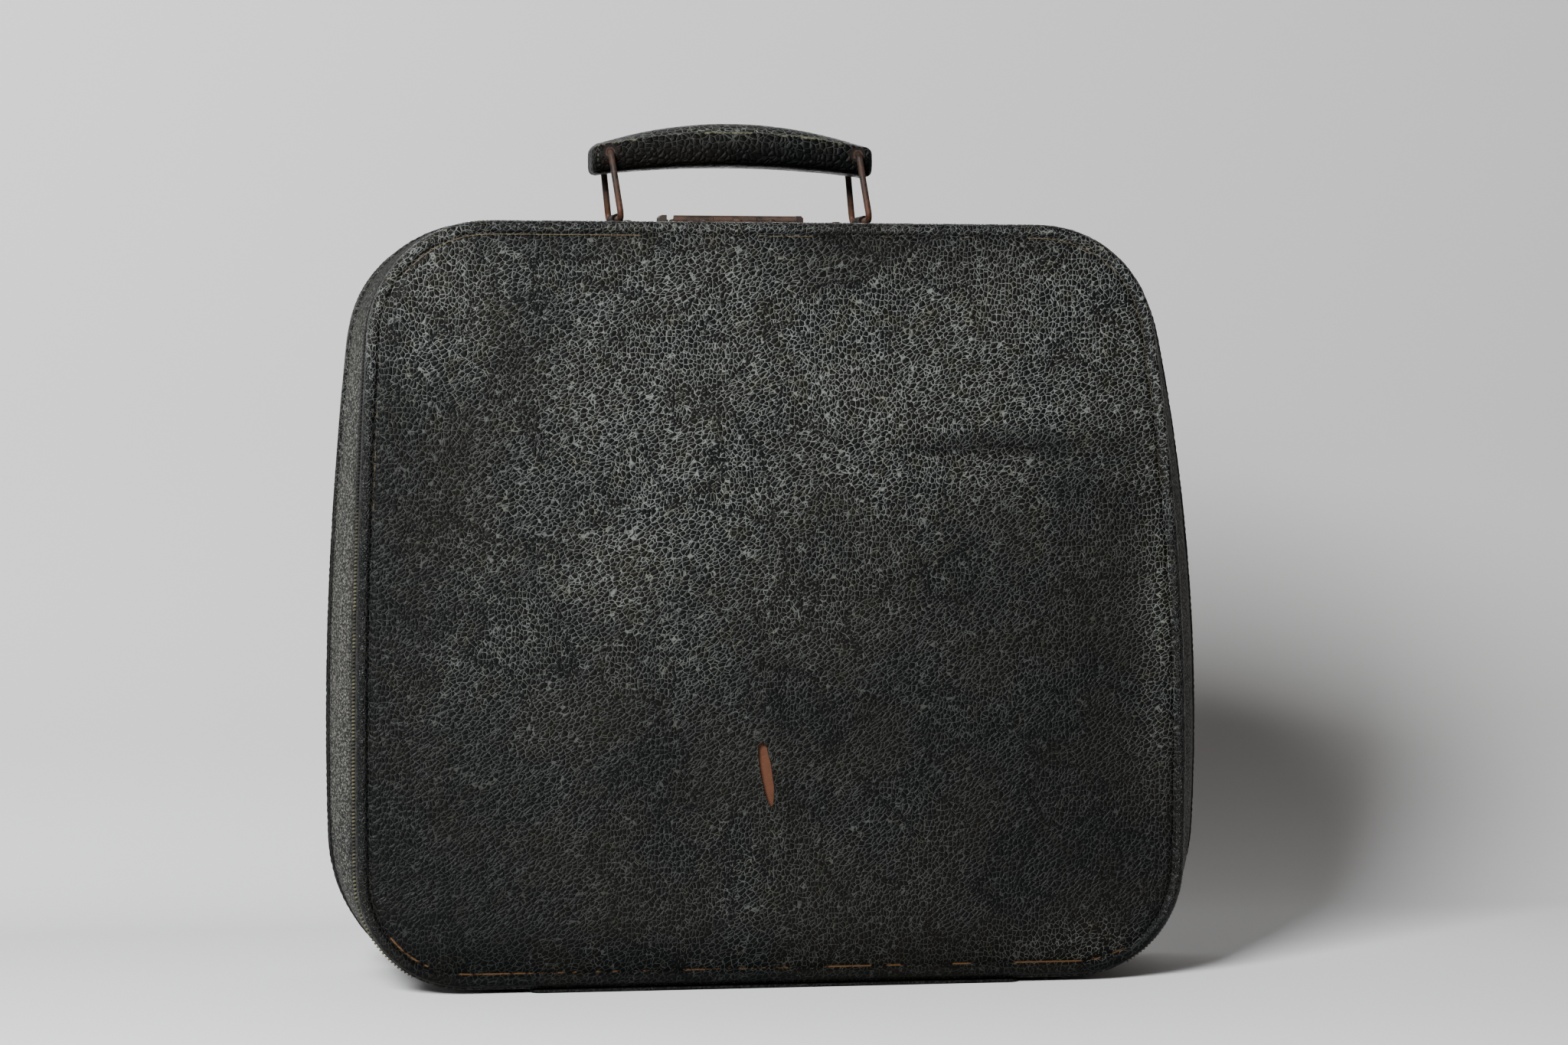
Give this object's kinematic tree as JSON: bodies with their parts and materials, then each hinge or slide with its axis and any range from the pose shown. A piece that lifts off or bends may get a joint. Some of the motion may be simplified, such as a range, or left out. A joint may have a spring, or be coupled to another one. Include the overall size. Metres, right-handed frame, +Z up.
{
  "type": "typewriter case",
  "caption": "Leather covered typewriter case with a rounded flared lid, swaying wire-hung handle, hasp with sliding catches, and a hinge along its bottom edge.",
  "frame": {"origin": "middle of the case on the surface that it stands on, hinge side down", "axes": "+X to the right as seen facing the lid, +Y from the lid towards the base, +Z up to the handle"},
  "size_m": [0.3412, 0.1, 0.3341],
  "materials": {
    "black_leather": "grained, worn, dusty in the grain",
    "wall_leather": "fine grained, worn",
    "rusty_steel": "brown with rust",
    "steel": "plain",
    "plywood": "matt",
    "lining_cloth": "matt",
    "black_rubber": "matt"
  },
  "bodies": {
    "root": {"base_wall": "plywood", "base_panel": "plywood", "base_wall_cover": "wall_leather", "base_panel_cover": "black_leather", "base_bead": "black_leather", "base_wall_lining": "lining_cloth", "base_panel_lining": "lining_cloth", "base_tongue": "plywood", "strip_base": "black_leather", "hinge_base_leaf": "steel", "hinge_base_screws": "steel", "hinge_pin": "steel", "ear_left": "rusty_steel", "ear_right": "rusty_steel", "ear_rivets": "rusty_steel", "lock_plate": "rusty_steel", "lock_case": "steel", "lock_rivets": "rusty_steel", "spring_left": "steel", "spring_right": "steel", "base_feet": "black_rubber", "foot_rivets": "steel", "rest_pads": "black_rubber", "catch_posts": "steel", "catch_screws": "steel"},
    "lid": {"lid_wall": "plywood", "lid_panel": "plywood", "lid_wall_cover": "wall_leather", "lid_panel_cover": "black_leather", "lid_bead": "black_leather", "lid_wall_lining": "lining_cloth", "lid_panel_lining": "lining_cloth", "strip_lid": "black_leather", "hinge_lid_leaf": "steel", "hinge_lid_screws": "steel", "hasp_plate": "rusty_steel", "hasp_pin": "rusty_steel", "hasp_rivets": "rusty_steel"},
    "hasp": {"hasp": "rusty_steel"},
    "slide_left": {"slide_left": "rusty_steel"},
    "slide_right": {"slide_right": "rusty_steel"},
    "loop_left": {"loop_left": "rusty_steel"},
    "loop_right": {"loop_right": "rusty_steel"},
    "grip": {"grip_leather": "black_leather", "grip_core": "plywood", "grip_eyelets": "rusty_steel"},
    "catch_left": {"catch_left": "steel"},
    "catch_right": {"catch_right": "steel"}
  },
  "joints": [
    {"name": "lid_hinge", "type": "hinge", "parent": "root", "child": "lid", "pos_m": [0, -0.027, 0.0025], "axis": [1, 0, 0], "range_deg": [0, 110]},
    {"name": "hasp_hinge", "type": "hinge", "parent": "lid", "child": "hasp", "pos_m": [-0.01425, -0.033, 0.2948], "axis": [1, 0, 0], "range_deg": [0, 100]},
    {"name": "slide_left_push", "type": "slide", "parent": "root", "child": "slide_left", "axis": [-1, 0, 0], "range_m": [0, 0.004], "stiffness_N_per_m": 400, "springref_m": -0.002, "deforming": ["spring_left"]},
    {"name": "slide_right_push", "type": "slide", "parent": "root", "child": "slide_right", "axis": [1, 0, 0], "range_m": [0, 0.004], "stiffness_N_per_m": 400, "springref_m": -0.002, "deforming": ["spring_right"]},
    {"name": "handle_sway", "type": "hinge", "parent": "root", "child": "loop_left", "pos_m": [-0.0563, -0.0025, 0.2959], "axis": [0, 1, 0], "range_deg": [-52, 67]},
    {"name": "loop_right_sway", "type": "hinge", "parent": "root", "child": "loop_right", "pos_m": [0.0415, -0.0025, 0.2959], "axis": [0, 1, 0], "range_deg": [-52, 67]},
    {"name": "grip_level", "type": "hinge", "parent": "loop_left", "child": "grip", "pos_m": [-0.05965, -0.0025, 0.32168], "axis": [0, 1, 0], "range_deg": [-67, 52]},
    {"name": "catch_left_turn", "type": "hinge", "parent": "root", "child": "catch_left", "pos_m": [-0.118, 0.0224, 0.142], "axis": [0, 1, 0], "range_deg": [-90, 90]},
    {"name": "catch_right_turn", "type": "hinge", "parent": "root", "child": "catch_right", "pos_m": [0.118, 0.0224, 0.142], "axis": [0, 1, 0], "range_deg": [-90, 90]}
  ],
  "couplings": [
    {"joint": "loop_right_sway", "follows": "handle_sway", "ratio": 1},
    {"joint": "grip_level", "follows": "handle_sway", "ratio": -1}
  ]
}
